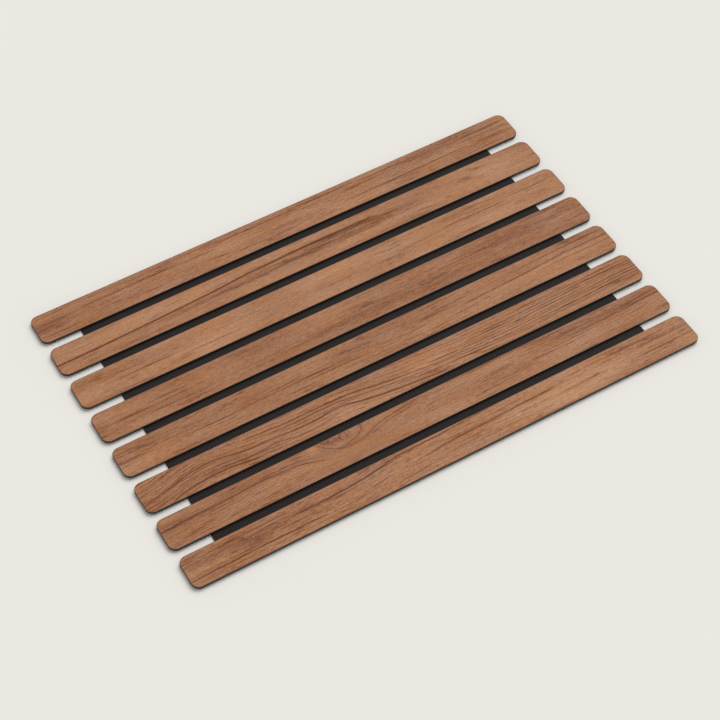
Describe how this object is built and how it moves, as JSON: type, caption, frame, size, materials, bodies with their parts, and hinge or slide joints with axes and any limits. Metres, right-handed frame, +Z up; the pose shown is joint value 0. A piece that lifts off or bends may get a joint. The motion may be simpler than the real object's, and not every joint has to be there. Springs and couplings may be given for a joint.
{
  "type": "bath mat",
  "caption": "Flat bath mat of parallel round-cornered wood-faced slats on a thin black rubber sheet that folds along the gaps between the slats, so the mat rolls up.",
  "frame": {"origin": "centre of the mat's outline, on the underside of the rubber sheet", "axes": "+X along the slats, +Y across them from the near slat 8 to the far slat 1, +Z up out of the wood faces"},
  "size_m": [0.6, 0.3914, 0.0044],
  "materials": {
    "base_rubber": "matt black sheet with a fine ribbed weave",
    "slat_core": "matt black cut edge",
    "wood_1": "satin walnut grain",
    "wood_2": "satin walnut grain",
    "wood_3": "satin walnut grain",
    "wood_4": "satin walnut grain",
    "wood_5": "satin walnut grain",
    "wood_6": "satin walnut grain",
    "wood_7": "satin walnut grain",
    "wood_8": "satin walnut grain"
  },
  "bodies": {
    "slat_8": {"base_panel_8": "base_rubber", "fold_web_7": "base_rubber", "slat_core_8": "slat_core", "wood_face_8": "wood_8"},
    "slat_7": {"base_panel_7": "base_rubber", "fold_web_6": "base_rubber", "slat_core_7": "slat_core", "wood_face_7": "wood_7"},
    "slat_6": {"base_panel_6": "base_rubber", "fold_web_5": "base_rubber", "slat_core_6": "slat_core", "wood_face_6": "wood_6"},
    "slat_5": {"base_panel_5": "base_rubber", "fold_web_4": "base_rubber", "slat_core_5": "slat_core", "wood_face_5": "wood_5"},
    "slat_4": {"base_panel_4": "base_rubber", "fold_web_3": "base_rubber", "slat_core_4": "slat_core", "wood_face_4": "wood_4"},
    "slat_3": {"base_panel_3": "base_rubber", "fold_web_2": "base_rubber", "slat_core_3": "slat_core", "wood_face_3": "wood_3"},
    "slat_2": {"base_panel_2": "base_rubber", "fold_web_1": "base_rubber", "slat_core_2": "slat_core", "wood_face_2": "wood_2"},
    "slat_1": {"base_panel_1": "base_rubber", "slat_core_1": "slat_core", "wood_face_1": "wood_1"}
  },
  "joints": [
    {"name": "fold_7", "type": "hinge", "parent": "slat_8", "child": "slat_7", "pos_m": [0, -0.1506, 0.0007], "axis": [1, 0, 0], "range_deg": [-67, 67], "stiffness_Nm_per_rad": 0.08},
    {"name": "fold_6", "type": "hinge", "parent": "slat_7", "child": "slat_6", "pos_m": [0, -0.1004, 0.0007], "axis": [1, 0, 0], "range_deg": [-68, 68], "stiffness_Nm_per_rad": 0.08},
    {"name": "fold_5", "type": "hinge", "parent": "slat_6", "child": "slat_5", "pos_m": [0, -0.0502, 0.0007], "axis": [1, 0, 0], "range_deg": [-70, 70], "stiffness_Nm_per_rad": 0.08},
    {"name": "fold_4", "type": "hinge", "parent": "slat_5", "child": "slat_4", "pos_m": [0, 0, 0.0007], "axis": [1, 0, 0], "range_deg": [-73, 73], "stiffness_Nm_per_rad": 0.08},
    {"name": "fold_3", "type": "hinge", "parent": "slat_4", "child": "slat_3", "pos_m": [0, 0.0502, 0.0007], "axis": [1, 0, 0], "range_deg": [-78, 78], "stiffness_Nm_per_rad": 0.08},
    {"name": "fold_2", "type": "hinge", "parent": "slat_3", "child": "slat_2", "pos_m": [0, 0.1004, 0.0007], "axis": [1, 0, 0], "range_deg": [-90, 90], "stiffness_Nm_per_rad": 0.08},
    {"name": "fold_1", "type": "hinge", "parent": "slat_2", "child": "slat_1", "pos_m": [0, 0.1506, 0.0007], "axis": [1, 0, 0], "range_deg": [-90, 90], "stiffness_Nm_per_rad": 0.08}
  ]
}
